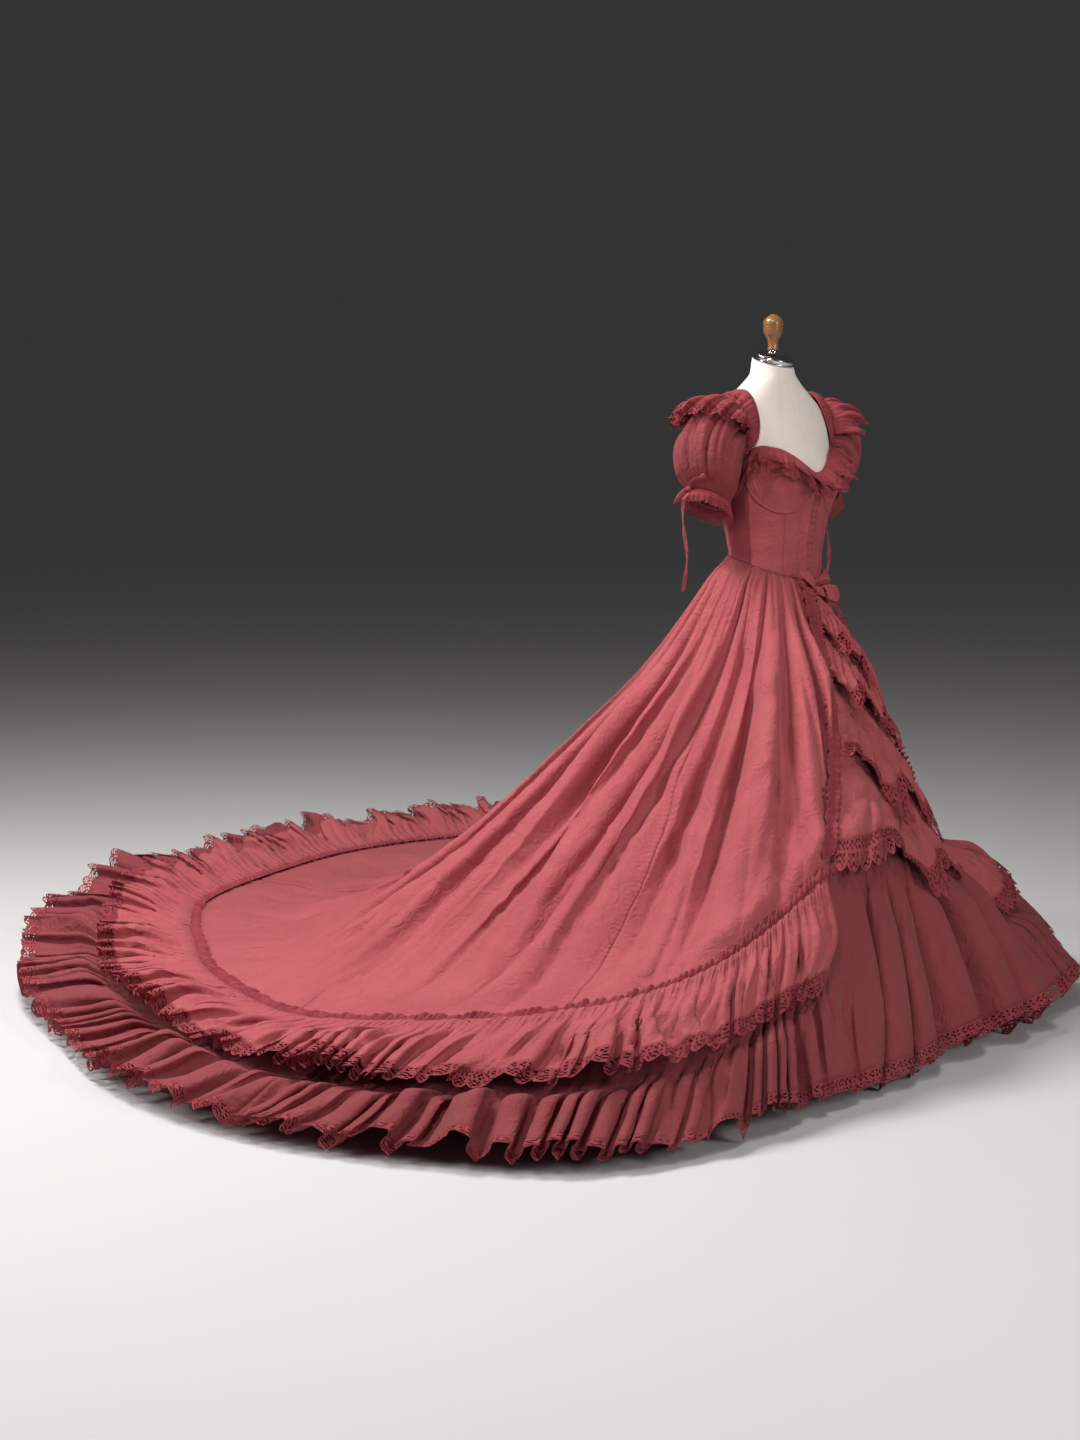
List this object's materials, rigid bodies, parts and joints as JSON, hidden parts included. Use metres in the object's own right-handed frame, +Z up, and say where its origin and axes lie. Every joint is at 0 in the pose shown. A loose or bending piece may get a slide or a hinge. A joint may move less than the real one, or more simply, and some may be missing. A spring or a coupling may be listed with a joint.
{
  "type": "tiered dress on a dress form",
  "caption": "Floor-length gathered gown with puffed sleeves, ruffled tiers, lace edging and a long train, worn by a limbless dress form on a pole stand",
  "frame": {"origin": "on the floor under the pole of the dress form, at the middle of the stand's flat underside", "axes": "+Z up; the gown faces -Y and its train runs toward +Y; the wearer's right is toward -X"},
  "size_m": [3.2588, 3.3297, 1.6516],
  "materials": {
    "cotton": "matt woven cotton, dusty brick rose",
    "panel": "matt woven cotton, darker stretch panel",
    "lace": "gathered cotton with scalloped lace edging",
    "linen": "cream linen stretched over the form",
    "chrome": "bright plated",
    "wood": "turned and varnished",
    "iron": "black enamel"
  },
  "bodies": {
    "root": {"form_body": "linen", "neck_cap": "chrome", "stand_pole": "chrome", "finial": "wood", "stand_base": "iron", "side_back_r": "panel", "side_back_l": "panel", "cuff_frill_r": "lace", "cuff_frill_l": "lace", "neck_frill_front": "lace", "neck_frill_back": "lace", "strap_frill_r": "lace", "strap_frill_l": "lace", "shoulder_frill_r": "lace", "shoulder_frill_l": "lace", "edge_frill_r": "lace", "edge_frill_l": "lace", "placket": "cotton", "front_panel_bodice_r": "cotton", "side_front_r": "cotton", "cup_r": "cotton", "back_r": "cotton", "strap_r": "cotton", "sleeve_r": "cotton", "tie_loop_r": "cotton", "tie_tail_r": "cotton", "bow_petal_r": "cotton", "front_panel_bodice_l": "cotton", "side_front_l": "cotton", "cup_l": "cotton", "back_l": "cotton", "strap_l": "cotton", "sleeve_l": "cotton", "tie_loop_l": "cotton", "tie_tail_l": "cotton", "bow_petal_l": "cotton", "bow_knot": "cotton", "front_panel": "cotton", "swag_1": "cotton", "swag_2": "cotton", "swag_3": "cotton", "swag_4": "cotton", "skirt_gore_1": "cotton", "skirt_gore_2": "cotton", "skirt_gore_3": "cotton", "skirt_gore_4": "cotton", "skirt_gore_5": "cotton", "skirt_gore_6": "cotton", "skirt_gore_7": "cotton", "skirt_gore_8": "cotton", "upper_ruffle_1": "cotton", "upper_ruffle_2": "cotton", "upper_ruffle_3": "cotton", "upper_ruffle_4": "cotton", "lower_ruffle_1": "cotton", "lower_ruffle_2": "cotton", "lower_ruffle_3": "cotton", "lower_ruffle_4": "cotton", "lower_ruffle_5": "cotton"}
  },
  "joints": []
}
